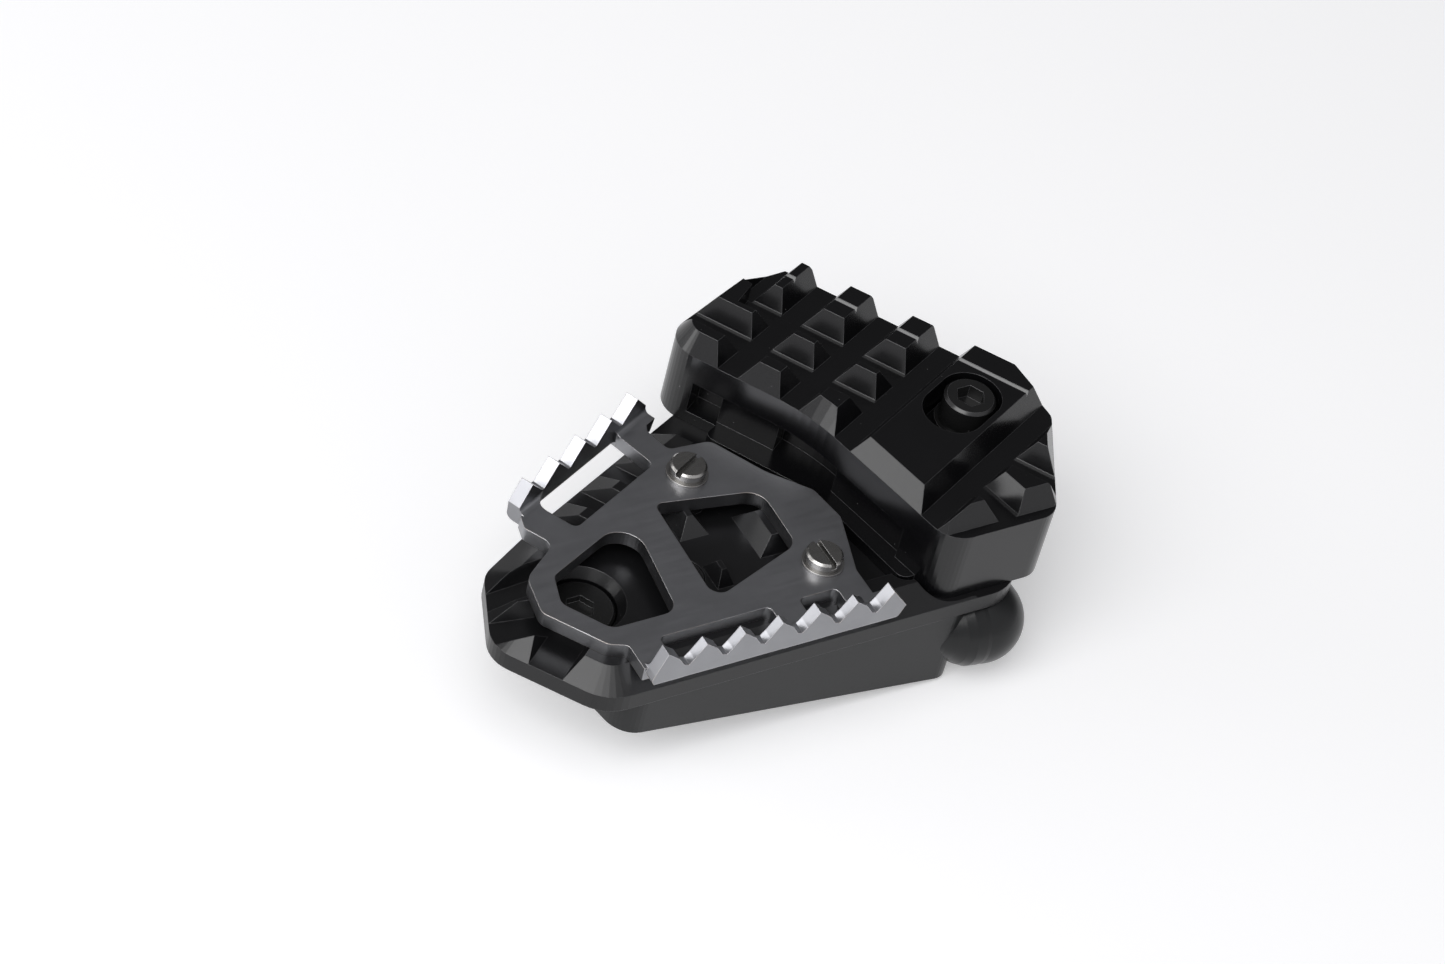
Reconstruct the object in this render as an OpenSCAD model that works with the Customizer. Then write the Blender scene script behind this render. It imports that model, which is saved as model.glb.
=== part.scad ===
// Brake pedal step for a motorcycle: a base plate on a cast foot, a toothed sheet-metal tread,
// and a raised toe pad that slides outboard on two dowels and is clamped by one bolt.
// Working frame: X along the front edge, Y to the rear, Z up, Z = 0 on the tread's top face.
// The part's origin is the mouth of the lever socket.

/* [Base plate] */
// Underside of the base plate
base_bottom = -9.6; // [-14:0.1:-8]
// Deck that the toe pad slides on
deck_z = -6; // [-8:0.1:-5]
// Width of the rim's bevel
rim_run = 5; // [2:0.1:7]
// Diameter of the sunk mouth over the clamp bolt
mouth_d = 16.6; // [15:0.1:18]

/* [Tread] */
// Sheet thickness of the tread
sheet = 3; // [1.5:0.1:4]
// Thickness of the two toothed flanges
flange_t = 2.6; // [1.5:0.1:4]
// Height of the tooth tips above the tread
tip_z = 5.3; // [3:0.1:8]
// Tooth pitch on the front flange
front_pitch = 7.85; // [5:0.05:10]
// Tooth pitch on the side flange
side_pitch = 8.03; // [5:0.01:10]

/* [Toe pad] */
// Height of the groove floors
floor_z = 10; // [4:0.1:12]
// Height of the stud tops
stud_z = 14.3; // [10:0.1:18]
// Sideways run of each sloping stud face
stud_run = 2.3; // [1:0.1:3]
// Width of a groove floor
groove_w = 4.2; // [2:0.1:6]
// Direction of the grooves that run outboard
slide_angle = 25.2; // [20:0.1:30]
// Direction of the cross grooves
cross_angle = -56; // [-70:0.5:-50]
// Top of the ledge along the foot of the pad's front wall
ledge_z = -3.4; // [-4:0.1:-2]
// Top of the pocket in the pad's front wall
pocket_top = 3.9; // [3:0.1:6]
// Outboard travel of the pad
travel = 6; // [0:0.5:8]

/* [Foot] */
// Width of the foot, front to rear, at the lever end
foot_front = -24.8; // [-26:0.1:-20]
// Fall of the foot's underside per millimetre
foot_fall = 0.143; // [0:0.001:0.2]
// Outer radius of the lever socket
socket_wall_r = 8.8; // [7:0.1:10]
// Bore radius of the lever socket
socket_r = 5; // [4:0.1:6]
// Depth of the lever socket
socket_depth = 18; // [10:0.5:20]

/* [Hidden] */
$fn = 48;
eps = 0.01;
fit = 0.05;
layer_z = -sheet;
origin = [36.1, -1, -18];
bolt_at = [41.8, 5.8];
dowels_at = [[16, 34], [34, -12]];
screws_at = [[-11.1, 16.1], [2.2, -12.1]];
clamp_at = [-41.2, -1.2];
base_bolts_at = [[-21, -2], [22, -12]];

// Corner lists are counter-clockwise, each corner [x, y, radius].
base_corners = [[38.5, -25, 9], [50.5, -4.2, 3], [53.5, -3, 2], [53, 7, 3], [28, 43.6, 3], [17, 44.6, 4],
                [-44, 16.2, 12], [-55.6, 9.9, 6], [-62.3, -6.2, 7], [-48.2, -25, 9]];
rim_corners = [[40, -25, 2], [40, 55.3, 2], [-44, 16.2, 12], [-55.6, 9.9, 6], [-62.3, -6.2, 7],
               [-48.2, -25, 9]];
pad_corners = [[-5.7, 41, 6], [12.1, 14.4, 40], [21, -23.3, 6], [44.2, -23.3, 5], [57.3, -0.6, 3],
               [56.8, 11.1, 1], [29.5, 50.6, 1], [15.5, 49.8, 4]];
tread_corners = [[-41.9, -24.6, 0.2], [7.4, -24.6, 0.2], [7.4, -15.8, 3], [11.5, -3, 3], [10.1, 4.8, 2],
                 [3.6, 12, 10], [-2.6, 22.4, 2.5], [-11.3, 22.9, 1.5], [-12.9, 28.3, 1.4], [-11.1, 32.4, 0.2],
                 [-45.9, 16.2, 0.2], [-46.6, 13.2, 1], [-43.4, 7.9, 2], [-51.8, 2, 4],
                 [-53.2, -6.5, 2.5], [-45.3, -17.2, 2], [-41.9, -18.6, 1.2]];
window_a = [[-46.9, 0.9, 2], [-48.8, -5.6, 2.5], [-42.8, -14, 3], [-29.4, -14, 3], [-26.4, 10.1, 4.7]];
window_b = [[-21.4, -13.8, 2.5], [-0.1, -6.4, 3.5], [0.2, 7.8, 4], [-20.7, 11.2, 1.5]];
ledge_corners = [[-0.6, 27.1, 1.5], [0.8, 24.5, 2], [11.9, 7.3, 8], [16.9, -17.9, 2], [24, -17.9, 1],
                 [24, 24, 1], [6, 30, 1]];
foot_corners = [[-43.6, foot_front, 5.5], [30.2, foot_front, 4], [30.2, -4, 1], [-2, -4, 6],
                [-12, 11, 6], [-51.5, 11, 8], [-51.5, -3, 4], [-45.9, -14, 4]];

function unit(v) = v / norm(v);
function xy(c) = [c[0], c[1]];

// The points of one rounded corner q between p and n, with the whole outline drawn in by d.
function corner(p, q, n, r, d) =
    let (u = unit(p - q), v = unit(n - q), mid = unit(u + v), s = sin(acos(u * v) / 2),
         turn = cross(q - p, n - q) > 0 ? 1 : -1,
         rr = max(r - turn * d, 0.05),
         c = q + mid * (turn * d + rr) / s,
         a0 = atan2(-turn * u[0], turn * u[1]) + 180,
         sweep = turn * (180 - acos(u * v)),
         steps = max(1, ceil(abs(sweep) / (r > 20 ? 3 : 9))))
    [for (i = [0 : steps]) let (a = a0 + sweep * i / steps) c + rr * [cos(a), sin(a)]];

// A closed outline with rounded corners, drawn in by d.
function outline(cs, d = 0) =
    let (n = len(cs))
    [for (i = [0 : n - 1])
        each corner(xy(cs[(i + n - 1) % n]), xy(cs[i]), xy(cs[(i + 1) % n]), cs[i][2], d)];

module plate_of(cs, z0, z1, d = 0)
    translate([0, 0, z0])
        linear_extrude(z1 - z0)
            polygon(outline(cs, d));

// A solid through the outline drawn in by d at each height z, from a list of [z, d].
module bevelled(cs, levels) {
    n = len(outline(cs));
    top = n * (len(levels) - 1);
    polyhedron(
        points = [for (l = levels, p = outline(cs, l[1])) [p[0], p[1], l[0]]],
        faces = [[for (i = [0 : n - 1]) i],
                 [for (i = [0 : n - 1]) top + n - 1 - i],
                 for (k = [0 : n : top - n], i = [0 : n - 1])
                     [k + i, k + n + i, k + n + (i + 1) % n, k + (i + 1) % n]]);
}

// A groove with a flat floor from lo to hi and sloping flanks, running along x from x0 to x1.
module groove(angle, lo, hi, x0, x1, z = floor_z, rise = stud_z - floor_z, run = stud_run)
    rotate(angle)
        translate([x0, 0, z])
            rotate([90, 0, 90])
                linear_extrude(x1 - x0)
                    polygon([[lo, 0], [hi, 0], [hi + 2 * run, 2 * rise], [lo - 2 * run, 2 * rise]]);

// A cross groove of the toe pad, with a narrow chamfer along the foot of its far flank.
module cross_groove(angle, lo, x0, x1)
    rotate(angle)
        translate([x0, 0, floor_z])
            rotate([90, 0, 90])
                linear_extrude(x1 - x0)
                    polygon([[lo, 0], [lo + groove_w - 0.5, 0], [lo + groove_w + 0.12, 0.24],
                             [lo + groove_w + 2 * stud_run, 2 * (stud_z - floor_z)],
                             [lo - 2 * stud_run, 2 * (stud_z - floor_z)]]);

// A stud with sloping sides: foot and top are [x, y] sizes, centred.
module stud(foot, top, z0, z1)
    intersection() {
        translate([0, foot[1], z0])
            rotate([90, 0, 0])
                linear_extrude(2 * foot[1])
                    polygon([[-foot[0] / 2, 0], [foot[0] / 2, 0], [top[0] / 2, z1 - z0], [-top[0] / 2, z1 - z0]]);
        translate([-foot[0], 0, z0])
            rotate([90, 0, 90])
                linear_extrude(2 * foot[0])
                    polygon([[-foot[1] / 2, 0], [foot[1] / 2, 0], [top[1] / 2, z1 - z0], [-top[1] / 2, z1 - z0]]);
    }

// A slot of width w from here to [-length, 0], between z0 and z1.
module slot(w, length, z0, z1)
    translate([0, 0, z0]) {
        cylinder(d = w, h = z1 - z0);
        translate([-length, 0, 0])
            cylinder(d = w, h = z1 - z0);
        translate([-length, -w / 2, 0])
            cube([length, w, z1 - z0]);
    }

module bore(p, d, z0, z1)
    translate([p[0], p[1], z0])
        cylinder(d = d, h = z1 - z0);

module in_frame()
    translate(-origin)
        children();

// Base plate: thin deck, raised bevelled rim and studs under the tread, spigot at the inner end.
module base_rim()
    difference() {
        bevelled(rim_corners, [[deck_z, 0], [layer_z, rim_run]]);
        rotate(cross_angle)
            translate([-80, 11, deck_z - 1])
                cube([160, 80, 10]);
        plate_of(rim_corners, deck_z - 1, 0, 8.5);
        plate_of(ledge_corners, deck_z - 1, 0, -1.2);
        plate_of(pad_corners, deck_z - 1, 0, -1.2);
        groove(37, 18.3, 25, -70, -20, deck_z, 3, 1.6);
        groove(4, 5.6, 9.4, -75, -40, deck_z, 3, 1.6);
        groove(-8, -14.5, -9.5, -70, -38, deck_z, 3, 1.6);
        for (lo = [-25, -15, -5])
            groove(cross_angle, lo, lo + groove_w, -60, -20, deck_z, 3, 1.6);
    }

module base_plate()
    color([0.07, 0.07, 0.075])
        in_frame()
            difference() {
                union() {
                    plate_of(base_corners, base_bottom, deck_z + eps);
                    base_rim();
                    bore(clamp_at, 17, -13, base_bottom + 0.5);
                    for (p = screws_at)
                        bore(p, 10, deck_z - 1, layer_z);
                    translate([-0.4, 2.7, 0])
                        stud([8.8, 11.6], [2, 6.4], deck_z - 0.3, layer_z);
                    translate([-13.8, 11.2, 0])
                        stud([6.6, 11.6], [1.2, 5], deck_z - 0.3, layer_z);
                    translate([-14.2, -4.2, 0])
                        stud([3.8, 6.4], [1, 2.3], deck_z - 0.3, layer_z);
                }
                translate([clamp_at[0], clamp_at[1], -8])
                    cylinder(d1 = 14, d2 = mouth_d, h = deck_z + 8 + eps);
                bore(clamp_at, 14, -11.9, -7.9);
                bore(clamp_at, 9, -20, 1);
                for (p = screws_at)
                    bore(p, 4.1, -12, 1);
                for (p = base_bolts_at) {
                    bore(p, 5.5, -12, 0);
                    translate([p[0], p[1], -8.45])
                        cylinder(d1 = 5.5, d2 = 9.4, h = 2.5);
                }
                for (p = dowels_at)
                    bore(p, 5 + 2 * fit, -9.4, 1);
                bore(bolt_at, 6.6, -12, 1);
            }

// Tread: one sheet, turned up along the front and along the side into toothed flanges.
module bend_section(back)
    difference() {
        union() {
            translate([0, -sheet])
                square([flange_t, sheet + tip_z + 1]);
            translate([0, -sheet])
                square([flange_t + back, sheet]);
            difference() {
                translate([flange_t - eps, -eps])
                    square([1.3, 1.3]);
                translate([flange_t + 1.3, 1.3])
                    circle(r = 1.3);
            }
        }
        difference() {
            translate([-1, -sheet - 1])
                square([2.4, 2.4]);
            translate([1.4, 1.4 - sheet])
                circle(r = 1.4);
        }
    }

module front_flange()
    translate([0, -27, 0])
        intersection() {
            translate([-45, 0, 0])
                rotate([90, 0, 90])
                    linear_extrude(60)
                        bend_section(2.6);
            translate([0, 10, 0])
                rotate([90, 0, 0])
                    linear_extrude(20)
                        polygon([[-40.4, -sheet], [9.8, -sheet], [11.4, 0.7], [7.8, tip_z],
                                 for (k = [5 : -1 : 0])
                                     let (x = -39.3 + front_pitch * k)
                                     each [[x + 5.9, tip_z - 3.2], [x + 5, tip_z - 4.4],
                                           [x + 4, tip_z - 4.1], [x + 2.6, tip_z - 2.1], [x, tip_z]],
                                 [-41.1, tip_z - 5], [-41.5, -1]]);
        }

module side_flange()
    rotate(slide_angle)
        translate([0, 37.45, 0])
            mirror([0, 1, 0])
                intersection() {
                    translate([-40, 0, 0])
                        rotate([90, 0, 90])
                            linear_extrude(50)
                                bend_section(2.6);
                    translate([0, 10, 0])
                        rotate([90, 0, 0])
                            linear_extrude(20)
                                polygon([[-34, -sheet], [3.6, -sheet], [4.6, 1.3], [0.9, tip_z],
                                         for (k = [3 : -1 : 0])
                                             let (x = -31.4 + side_pitch * k)
                                             each [[x + 4.5, tip_z - 4.1], [x + 3.9, tip_z - 4.1], [x, tip_z]],
                                         [-34.4, tip_z - 4]]);
                }

module tread_plate()
    color([0.62, 0.61, 0.6])
        in_frame()
            difference() {
                union() {
                    plate_of(tread_corners, -sheet, 0);
                    front_flange();
                    side_flange();
                }
                plate_of(window_a, -10, 10);
                plate_of(window_b, -10, 10);
                rotate(slide_angle) {
                    plate_of([[-29.5, 25.2, 1.5], [-5.8, 25.1, 1.5], [-4.6, 34.85, 0.6], [-30.3, 34.85, 3]], -10, 10);
                    translate([-27.3, 34.5, -10])
                        cube([22.7, 5, 8.1]);
                }
                for (s = [[-35.8, -12.7], [-6.7, 1.5]]) {
                    plate_of([[s[0], -24.9, 0.4], [s[1], -24.9, 0.4], [s[1], -18.6, 1.2], [s[0], -18.6, 1.2]], -10, 10);
                    translate([s[0] + 1.2, -28, -10])
                        cube([s[1] - s[0] - 2.4, 4, 7.8]);
                }
                for (p = screws_at)
                    bore(p, 4.3, -10, 10);
            }

// Toe pad: bevelled block with studs between grooves, pocketed front wall and a lower ledge.
module pad_block()
    difference() {
        union() {
            plate_of(pad_corners, deck_z + fit, floor_z + eps);
            bevelled(pad_corners, [[floor_z, 0], [stud_z, stud_run]]);
        }
        rotate(cross_angle)
            translate([-80, 51, -10])
                cube([160, 40, 40]);
    }

module front_band(z0, z1, depth)
    difference() {
        plate_of(pad_corners, z0, z1, -3);
        plate_of(pad_corners, z0 - 1, z1 + 1, depth);
    }

module front_pocket() {
    // deep recesses beside the two raised blocks
    intersection() {
        front_band(ledge_z, pocket_top, 5);
        rotate(cross_angle)
            union() {
                translate([-28.5, 10, -5])
                    cube([6.1, 14, 20]);
                translate([-10.3, 4, -5])
                    cube([13.8, 20, 20]);
            }
    }
    // the shallow set-back of the blocks themselves
    intersection() {
        front_band(ledge_z, pocket_top, 1.1);
        rotate(cross_angle)
            translate([-28.5, 10, -5])
                cube([28.5, 14, 20]);
    }
    intersection() {
        front_band(ledge_z, pocket_top, 1.4);
        translate([5, -12.6, -5])
            cube([18, 21, 20]);
    }
}

module raised_pad()
    color([0.05, 0.05, 0.055])
        in_frame()
            difference() {
                union() {
                    difference() {
                        pad_block();
                        front_pocket();
                    }
                    plate_of(ledge_corners, deck_z + fit, ledge_z);
                }
                for (lo = [22.9, 9.8, -3.2, -26.2])
                    groove(slide_angle, lo, lo + groove_w, -80, 80);
                cross_groove(cross_angle, 25, -60, 5);
                cross_groove(cross_angle, 35, -28.5, 5);
                cross_groove(cross_angle, 27.9, 29, 60);
                cross_groove(-76.5, 26.6, 18.8, 60);
                groove(0, -40, -21.3, 15, 80);
                groove(slide_angle, 33.3, 35.6, 34, 80);
                // shallow notch along the rear studs
                rotate(cross_angle)
                    translate([-60, 0, 0])
                        rotate([90, 0, 90])
                            linear_extrude(120)
                                polygon([[45.1, 13.5], [46, 14.25], [46, 20], [45.1, 20]]);
                rotate(slide_angle)
                    translate([cos(slide_angle) * bolt_at[0] + sin(slide_angle) * bolt_at[1],
                               cos(slide_angle) * bolt_at[1] - sin(slide_angle) * bolt_at[0], 0]) {
                        slot(12, travel, 7, 20);
                        slot(6.6, travel, -10, 20);
                    }
                for (p = dowels_at)
                    translate([p[0], p[1], 0])
                        rotate(slide_angle)
                            slot(5.3, travel, -10, -2.7);
            }

// Foot: wedge with a located seat at the inner end and the lever socket at the other.
module pedal_foot()
    color([0.12, 0.12, 0.125])
        in_frame()
            difference() {
                union() {
                    intersection() {
                        plate_of(foot_corners, -30, base_bottom);
                        translate([0, 20, 0])
                            rotate([90, 0, 0])
                                linear_extrude(60)
                                    polygon([[-60, base_bottom], [-60, -18.3 + 25 * foot_fall],
                                             [32, -18.3 - 67 * foot_fall], [32, base_bottom]]);
                    }
                    translate([origin[0], -20.4, origin[2]])
                        sphere(r = socket_wall_r);
                    // neck that swells out of the front wall into the lobe
                    translate([0, -20.4, origin[2]])
                        rotate([90, 0, 90])
                            rotate_extrude()
                                polygon([[0, 22], [3.6, 23.4], [4.8, 26], [6.1, 27.8], [7.4, 29.4], [8.2, 31],
                                         [8.5, 33], [8.5, 36.1], [0, 36.1]]);
                    translate([origin[0], origin[1], origin[2]])
                        rotate([90, 0, 0])
                            cylinder(r = socket_wall_r, h = 19.4);
                }
                translate([origin[0], origin[1] + 1, origin[2]])
                    rotate([90, 0, 0])
                        cylinder(r = socket_r, h = socket_depth + 1);
                translate([-80, -80, base_bottom])
                    cube([160, 160, 20]);
                for (y = [-6.5, -14.5])
                    bore([origin[0], y], 5.1, -30, origin[2]);
                bore(clamp_at, 17 + 2 * fit, -13.05, 0);
                bore(clamp_at, 9, -30, 0);
                bore(clamp_at, 17, -30, -17.2);
                for (p = base_bolts_at)
                    bore(p, 7 + 2 * fit, -18, 0);
            }

// Socket head cap screw, head down to z0, tip at z1, with a hexagon socket of the given depth.
module cap_screw(p, d, head_d, head_h, z0, z1, key, depth)
    translate([p[0], p[1], z0])
        difference() {
            union() {
                cylinder(d = head_d, h = head_h - 0.5);
                translate([0, 0, head_h - 0.5])
                    cylinder(d1 = head_d, d2 = head_d - 1, h = 0.5);
                translate([0, 0, z1 - z0])
                    cylinder(d = d, h = z0 - z1 + eps);
            }
            translate([0, 0, head_h - depth])
                cylinder(d = key / cos(30), h = d, $fn = 6);
        }

module hex_nut(p, d, across, h, z0)
    translate([p[0], p[1], z0])
        difference() {
            intersection() {
                cylinder(d = across / cos(30), h = h, $fn = 6);
                cylinder(d1 = across * 1.02, d2 = across * 1.02 + 2 * h, h = h);
            }
            translate([0, 0, -1])
                cylinder(d = d, h = h + 2);
        }

module ring(p, inner, outer, z0, z1)
    difference() {
        bore(p, outer, z0, z1);
        bore(p, inner, z0 - 1, z1 + 1);
    }

module cheese_screw(p, turn)
    translate([p[0], p[1], 0])
        difference() {
            union() {
                translate([0, 0, 0.6])
                    cylinder(d = 7, h = 1.7);
                translate([0, 0, 2.3 - eps])
                    cylinder(d1 = 7, d2 = 6.2, h = 0.4);
                translate([0, 0, -9.4])
                    cylinder(d = 4, h = 10.1);
            }
            rotate(turn)
                translate([-5, -0.55, 1.5])
                    cube([10, 1.1, 3]);
        }

module flat_screw(p)
    translate([p[0], p[1], 0])
        difference() {
            union() {
                translate([0, 0, -8.5])
                    cylinder(d1 = 5, d2 = 8.8, h = 2.4);
                translate([0, 0, -16.5])
                    cylinder(d = 5, h = 8.1);
            }
            translate([0, 0, -7.6])
                cylinder(d = 3 / cos(30), h = 3, $fn = 6);
        }

module steel()
    color([0.7, 0.7, 0.71])
        in_frame()
            children();

module black_steel()
    color([0.04, 0.04, 0.045])
        in_frame()
            children();

module pad_bolt() black_steel() cap_screw(bolt_at, 6, 10, 6, 8.05, -12.9, 5, 2.8);
module pad_washer() black_steel() ring(bolt_at, 6.4, 11.4, 7.05, 8.05);
module pad_nut() steel() hex_nut(bolt_at, 6.1, 10, 3.2, -12.8);
module guide_pin_front() steel() bore(dowels_at[1], 5, -9.4, -3);
module guide_pin_rear() steel() bore(dowels_at[0], 5, -9.4, -3);
module tread_screw_side() steel() cheese_screw(screws_at[0], 27);
module tread_screw_front() steel() cheese_screw(screws_at[1], -89);
module tread_washer_side() steel() ring(screws_at[0], 4.1, 8, 0, 0.6);
module tread_washer_front() steel() ring(screws_at[1], 4.1, 8, 0, 0.6);
module clamp_bolt() black_steel() cap_screw(clamp_at, 8, 13.3, 3, -11, -23.5, 5, 1.4);
module clamp_washer() steel() ring(clamp_at, 8.4, 13.4, -11.9, -11);
module clamp_nut() steel() hex_nut(clamp_at, 8.1, 13, 5, -22.2);
module base_bolt_inner() black_steel() flat_screw(base_bolts_at[0]);
module base_bolt_outer() black_steel() flat_screw(base_bolts_at[1]);
module insert_inner() steel() ring(base_bolts_at[0], 5.1, 7, -17.6, base_bottom - 0.1);
module insert_outer() steel() ring(base_bolts_at[1], 5.1, 7, -17.6, base_bottom - 0.1);

module set_screw(y)
    difference() {
        bore([origin[0], y], 5, -27, -23);
        translate([origin[0], y, -28])
            cylinder(d = 2.5 / cos(30), h = 3, $fn = 6);
    }

module set_screw_inner() black_steel() set_screw(-6.5);
module set_screw_outer() black_steel() set_screw(-14.5);

pedal_foot();
base_plate();
tread_plate();
raised_pad();
pad_bolt();
pad_washer();
pad_nut();
guide_pin_front();
guide_pin_rear();
tread_screw_side();
tread_screw_front();
tread_washer_side();
tread_washer_front();
clamp_bolt();
clamp_washer();
clamp_nut();
base_bolt_inner();
base_bolt_outer();
insert_inner();
insert_outer();
set_screw_inner();
set_screw_outer();
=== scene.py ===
"""Looks of a motorcycle brake pedal step with a raised toe pad."""
import math

import bpy
from mathutils import Matrix, Vector


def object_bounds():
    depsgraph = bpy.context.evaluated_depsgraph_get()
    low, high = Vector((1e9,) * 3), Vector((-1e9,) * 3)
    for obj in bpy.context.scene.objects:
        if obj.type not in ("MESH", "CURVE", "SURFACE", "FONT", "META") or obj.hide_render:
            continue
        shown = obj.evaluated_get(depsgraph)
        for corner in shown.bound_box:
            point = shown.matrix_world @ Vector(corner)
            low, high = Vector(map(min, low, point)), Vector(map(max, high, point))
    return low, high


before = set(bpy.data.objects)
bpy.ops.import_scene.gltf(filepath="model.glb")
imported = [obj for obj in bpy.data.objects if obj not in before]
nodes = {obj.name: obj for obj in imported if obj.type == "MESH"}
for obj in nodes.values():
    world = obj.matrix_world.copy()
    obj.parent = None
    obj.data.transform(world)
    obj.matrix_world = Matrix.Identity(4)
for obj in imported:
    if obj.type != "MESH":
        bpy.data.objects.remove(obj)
cad_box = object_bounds()


# ---------------------------------------------------------------- camera
def aim_camera(aim, azimuth, elevation, roll, distance, lens):
    """A camera that looks at aim from the given direction; azimuth 0 looks along +Y."""
    a, e = math.radians(azimuth), math.radians(elevation)
    forward = Vector((math.sin(a) * math.cos(e), math.cos(a) * math.cos(e), -math.sin(e)))
    turn = forward.to_track_quat("-Z", "Y").to_matrix().to_4x4()
    data = bpy.data.cameras.new("camera")
    data.lens = lens
    data.sensor_width = 36.0
    data.clip_start = 0.01
    camera = bpy.data.objects.new("camera", data)
    camera.matrix_world = (Matrix.Translation(Vector(aim) - forward * distance) @ turn
                           @ Matrix.Rotation(math.radians(roll), 4, "Z"))
    bpy.context.scene.collection.objects.link(camera)
    bpy.context.scene.camera = camera


aim_camera((-0.0436, 0.0108, 0.0208), 39.59, 43.52, 15.17, 0.790, 107.1)


# ---------------------------------------------------------------- materials
class Nodes:
    """A short way to write a node tree."""

    def __init__(self, name):
        self.material = bpy.data.materials.new(name)
        self.material.use_nodes = True
        self.tree = self.material.node_tree
        self.tree.nodes.clear()
        self.coord = self.add("ShaderNodeTexCoord").outputs["Object"]
        self.rounded = None
        self.shader = self.add("ShaderNodeBsdfPrincipled")
        out = self.add("ShaderNodeOutputMaterial")
        self.tree.links.new(self.shader.outputs["BSDF"], out.inputs["Surface"])

    def add(self, kind, **values):
        node = self.tree.nodes.new(kind)
        for key, value in values.items():
            setattr(node, key, value)
        return node

    def link(self, source, target):
        self.tree.links.new(source, target)

    def noise(self, scale, detail=4.0, stretch=None, rough=0.5):
        node = self.add("ShaderNodeTexNoise")
        node.inputs["Scale"].default_value = scale
        node.inputs["Detail"].default_value = detail
        node.inputs["Roughness"].default_value = rough
        if stretch:
            mapping = self.add("ShaderNodeMapping")
            mapping.inputs["Scale"].default_value = stretch
            self.link(self.coord, mapping.inputs["Vector"])
            self.link(mapping.outputs["Vector"], node.inputs["Vector"])
        else:
            self.link(self.coord, node.inputs["Vector"])
        return node.outputs["Fac"]

    def ramp(self, source, *stops):
        node = self.add("ShaderNodeValToRGB")
        elements = node.color_ramp.elements
        while len(elements) < len(stops):
            elements.new(0.5)
        for element, (place, value) in zip(elements, stops):
            element.position = place
            colour = value if isinstance(value, tuple) else (value,) * 3
            element.color = (*colour, 1)
        self.link(source, node.inputs["Fac"])
        return node.outputs["Color"]

    def mix(self, factor, a, b, kind="MIX"):
        node = self.add("ShaderNodeMix", data_type="RGBA", blend_type=kind)
        for value, socket in ((factor, node.inputs["Factor"]), (a, node.inputs["A"]), (b, node.inputs["B"])):
            if isinstance(value, bpy.types.NodeSocket):
                self.link(value, socket)
            elif isinstance(value, tuple):
                socket.default_value = (*value, 1)
            else:
                socket.default_value = value
        return node.outputs["Result"]

    def math(self, kind, a, b=0.0):
        node = self.add("ShaderNodeMath", operation=kind)
        for value, socket in zip((a, b), node.inputs):
            if isinstance(value, bpy.types.NodeSocket):
                self.link(value, socket)
            else:
                socket.default_value = value
        return node.outputs["Value"]

    def edge_wear_and_highlight(self, radius, low, high):
        """0 on flat faces, 1 on sharp edges: the mask for rubbed edges and painted edge highlights. The
        rounded normal is kept for bump().
        """
        bevel = self.add("ShaderNodeBevel", samples=6)
        bevel.inputs["Radius"].default_value = radius
        self.rounded = bevel.outputs["Normal"]
        geometry = self.add("ShaderNodeNewGeometry")
        dot = self.add("ShaderNodeVectorMath", operation="DOT_PRODUCT")
        self.link(bevel.outputs["Normal"], dot.inputs[0])
        self.link(geometry.outputs["Normal"], dot.inputs[1])
        return self.ramp(dot.outputs["Value"], (low, 1.0), (high, 0.0))

    def upright(self, flat, wall):
        """One value on level faces, another on walls."""
        split = self.add("ShaderNodeSeparateXYZ")
        self.link(self.add("ShaderNodeNewGeometry").outputs["Normal"], split.inputs["Vector"])
        return self.ramp(self.math("ABSOLUTE", split.outputs["Z"]), (0.15, wall), (0.75, flat))

    def bump(self, height, distance, strength=1.0):
        node = self.add("ShaderNodeBump")
        node.inputs["Distance"].default_value = distance
        node.inputs["Strength"].default_value = strength
        self.link(height, node.inputs["Height"])
        if self.rounded:
            self.link(self.rounded, node.inputs["Normal"])
        self.link(node.outputs["Normal"], self.shader.inputs["Normal"])

    def set(self, **values):
        for key, value in values.items():
            socket = self.shader.inputs[key.replace("_", " ")]
            if isinstance(value, bpy.types.NodeSocket):
                self.link(value, socket)
            elif isinstance(value, tuple):
                socket.default_value = (*value, 1)
            else:
                socket.default_value = value


def anodised(name, colour, rough, lines, wear_and_highlight=0.25, grit=0.000004, wall=0.75):
    """Black anodised aluminium: fine mill lines, cloudy sheen, specks and thin lighter edges.

    wear_and_highlight is how light the edges are made, partly rubbed metal and partly a painted highlight,
    grit the height of the mill lines, and wall the specular level on upright faces, which are duller than
    level ones.
    """
    n = Nodes(name)
    cloud = n.noise(120, 5)
    mill = n.noise(2600, 2, stretch=lines)
    grain = n.noise(9000, 2)
    speck = n.ramp(n.noise(1500, 1), (0.80, 0.0), (0.83, 1.0))
    edge_patches = n.ramp(n.noise(500, 4), (0.3, 0.25), (0.7, 1.0))
    edge = n.math("MULTIPLY", n.edge_wear_and_highlight(0.00018, 0.90, 0.99), edge_patches)
    body = n.mix(cloud, tuple(c * 0.7 for c in colour), tuple(c * 1.4 for c in colour))
    # Lighter edges in random patches: partly rubbed-through edges, partly a painted highlight along the
    # edges.
    body = n.mix(n.math("MULTIPLY", edge, wear_and_highlight), body, (0.30, 0.30, 0.31))
    n.set(Metallic=0.0, Specular_IOR_Level=n.upright(0.75, wall),
          Base_Color=n.mix(n.math("MULTIPLY", speck, 0.5), body, (0.22, 0.22, 0.22)),
          Roughness=n.math("ADD", n.math("MULTIPLY", mill, 0.06), rough - 0.03))
    n.bump(n.math("ADD", mill, n.math("MULTIPLY", grain, 0.5)), grit, 0.4)
    return n.material


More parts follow.
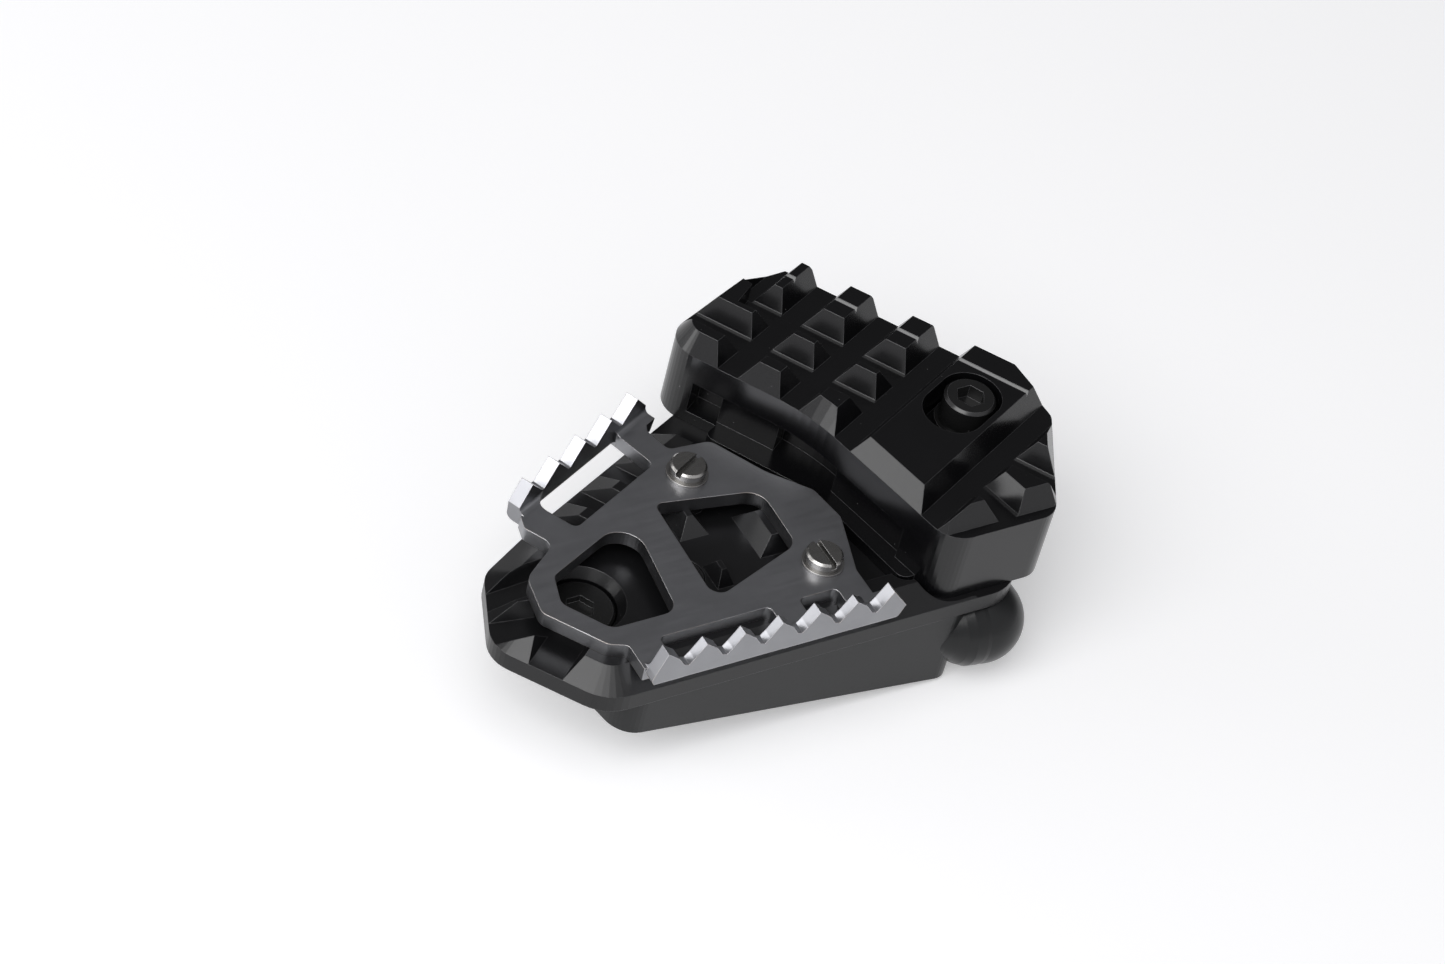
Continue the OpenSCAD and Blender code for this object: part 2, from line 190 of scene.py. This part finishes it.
def cast(name, colour, rough):
    """Painted casting: soft orange peel and cloudy sheen."""
    n = Nodes(name)
    peel = n.noise(1400, 3)
    cloud = n.noise(90, 4)
    n.set(Metallic=0.0, Specular_IOR_Level=0.27,
          Base_Color=n.mix(cloud, tuple(c * 0.8 for c in colour), tuple(c * 1.25 for c in colour)),
          Roughness=n.math("ADD", n.math("MULTIPLY", cloud, 0.12), rough - 0.06))
    n.bump(peel, 0.00002, 0.4)
    return n.material


def stainless(name, colour, rough, lines, tint=(0.42, 0.33, 0.25)):
    """Satin stainless steel: directional finish, cloudy stains, slightly blued edges lightened as a painted
    highlight, and painted shade on upright faces.
    """
    n = Nodes(name)
    brushed = n.noise(1200, 3, stretch=lines)
    cloud = n.noise(140, 5, rough=0.6)
    edge = n.edge_wear_and_highlight(0.0002, 0.90, 0.99)
    warm = n.math("MULTIPLY", edge, n.ramp(n.noise(160, 3), (0.45, 0.0), (0.65, 0.6)))
    body = n.mix(cloud, tuple(c * 0.85 for c in colour), tuple(min(1, c * 1.12) for c in colour))
    # Painted shade: upright faces get their colour darkened to 0.45 of the colour on level faces.
    body = n.mix(1.0, body, n.upright(1.0, 0.45), "MULTIPLY")
    # Painted highlight: sharp edges are lightened towards pale grey.
    body = n.mix(n.math("MULTIPLY", edge, 0.55), body, (0.80, 0.79, 0.78))
    n.set(Metallic=1.0,
          Base_Color=n.mix(warm, body, tint),
          Roughness=n.math("ADD", n.math("MULTIPLY", brushed, 0.12), rough - 0.06))
    n.bump(brushed, 0.000004, 0.5)
    return n.material


LOOKS = {
    "pedal_foot": cast("cast_black", (0.014, 0.0145, 0.015), 0.30),
    "base_plate": anodised("base_black", (0.005, 0.005, 0.0055), 0.30, (1, 0.08, 1), 0.25, 0.0000012, 0.35),
    "raised_pad": anodised("pad_black", (0.0035, 0.0035, 0.004), 0.22, (0.08, 1, 1), 0.25, 0.000004, 0.5),
    "tread_plate": stainless("tread_steel", (0.625, 0.63, 0.66), 0.34, (0.1, 1, 1)),
    "tread_screw": stainless("screw_steel", (0.52, 0.51, 0.49), 0.28, (0.3, 1, 1)),
    "washer_steel": stainless("washer_steel", (0.5, 0.49, 0.48), 0.33, (1, 1, 1)),
    "bolt_black": anodised("bolt_black", (0.010, 0.010, 0.010), 0.25, (1, 1, 0.2), 0.4),
}


def look_of(node):
    if node in LOOKS:
        return LOOKS[node]
    if node.startswith("tread_screw"):
        return LOOKS["tread_screw"]
    if node in ("pad_bolt", "pad_washer", "clamp_bolt") or node.startswith(("base_bolt", "set_screw")):
        return LOOKS["bolt_black"]
    return LOOKS["washer_steel"]


for name, thing in nodes.items():
    for slot in thing.material_slots:
        slot.material = look_of(name)


# ---------------------------------------------------------------- floor and light
def floor(z):
    mesh = bpy.data.meshes.new("floor")
    mesh.from_pydata([(-4, -4, z), (4, -4, z), (4, 4, z), (-4, 4, z)], [], [(0, 1, 2, 3)])
    thing = bpy.data.objects.new("floor", mesh)
    bpy.context.scene.collection.objects.link(thing)
    n = Nodes("floor")
    n.set(Base_Color=n.mix(n.noise(3, 2), (0.80, 0.80, 0.81), (0.84, 0.84, 0.85)),
          Roughness=0.9, Specular_IOR_Level=0.1,
          Emission_Color=(1.0, 1.0, 1.0), Emission_Strength=0.32)
    mesh.materials.append(n.material)


floor(cad_box[0][2] - 0.0005)


def lamp(name, place, size, power, aim=(-0.03, 0.01, 0.02)):
    data = bpy.data.lights.new(name, "AREA")
    data.shape = "RECTANGLE"
    data.size, data.size_y = size
    data.energy = power
    thing = bpy.data.objects.new(name, data)
    thing.location = place
    thing.rotation_euler = (Vector(aim) - Vector(place)).to_track_quat("-Z", "Y").to_euler()
    bpy.context.scene.collection.objects.link(thing)


lamp("overhead", (-0.25, -0.15, 1.05), (0.75, 0.75), 2.4)
lamp("left", (-0.84, -0.30, 0.88), (0.90, 0.80), 7.5)
lamp("far_left", (-1.15, 0.27, 0.16), (0.45, 0.26), 1.0)
lamp("rear_left", (-0.92, 0.65, 0.35), (0.50, 0.40), 1.2)


def surroundings(bright, dark):
    """A soft studio: bright towards the front, dim behind and above the object."""
    world = bpy.data.worlds.new("world")
    bpy.context.scene.world = world
    world.use_nodes = True
    tree = world.node_tree
    coord = tree.nodes.new("ShaderNodeTexCoord")
    dot = tree.nodes.new("ShaderNodeVectorMath")
    dot.operation = "DOT_PRODUCT"
    dot.inputs[1].default_value = (0.58, 0.71, 0.40)
    ramp = tree.nodes.new("ShaderNodeValToRGB")
    ramp.color_ramp.elements[0].position = 0.05
    ramp.color_ramp.elements[0].color = (bright, bright, bright * 1.03, 1)
    ramp.color_ramp.elements[1].position = 0.55
    ramp.color_ramp.elements[1].color = (dark, dark, dark * 1.03, 1)
    tree.links.new(coord.outputs["Generated"], dot.inputs[0])
    tree.links.new(dot.outputs["Value"], ramp.inputs["Fac"])
    tree.links.new(ramp.outputs["Color"], tree.nodes["Background"].inputs["Color"])


surroundings(0.55, 0.08)
bpy.context.scene.view_settings.view_transform = "Standard"
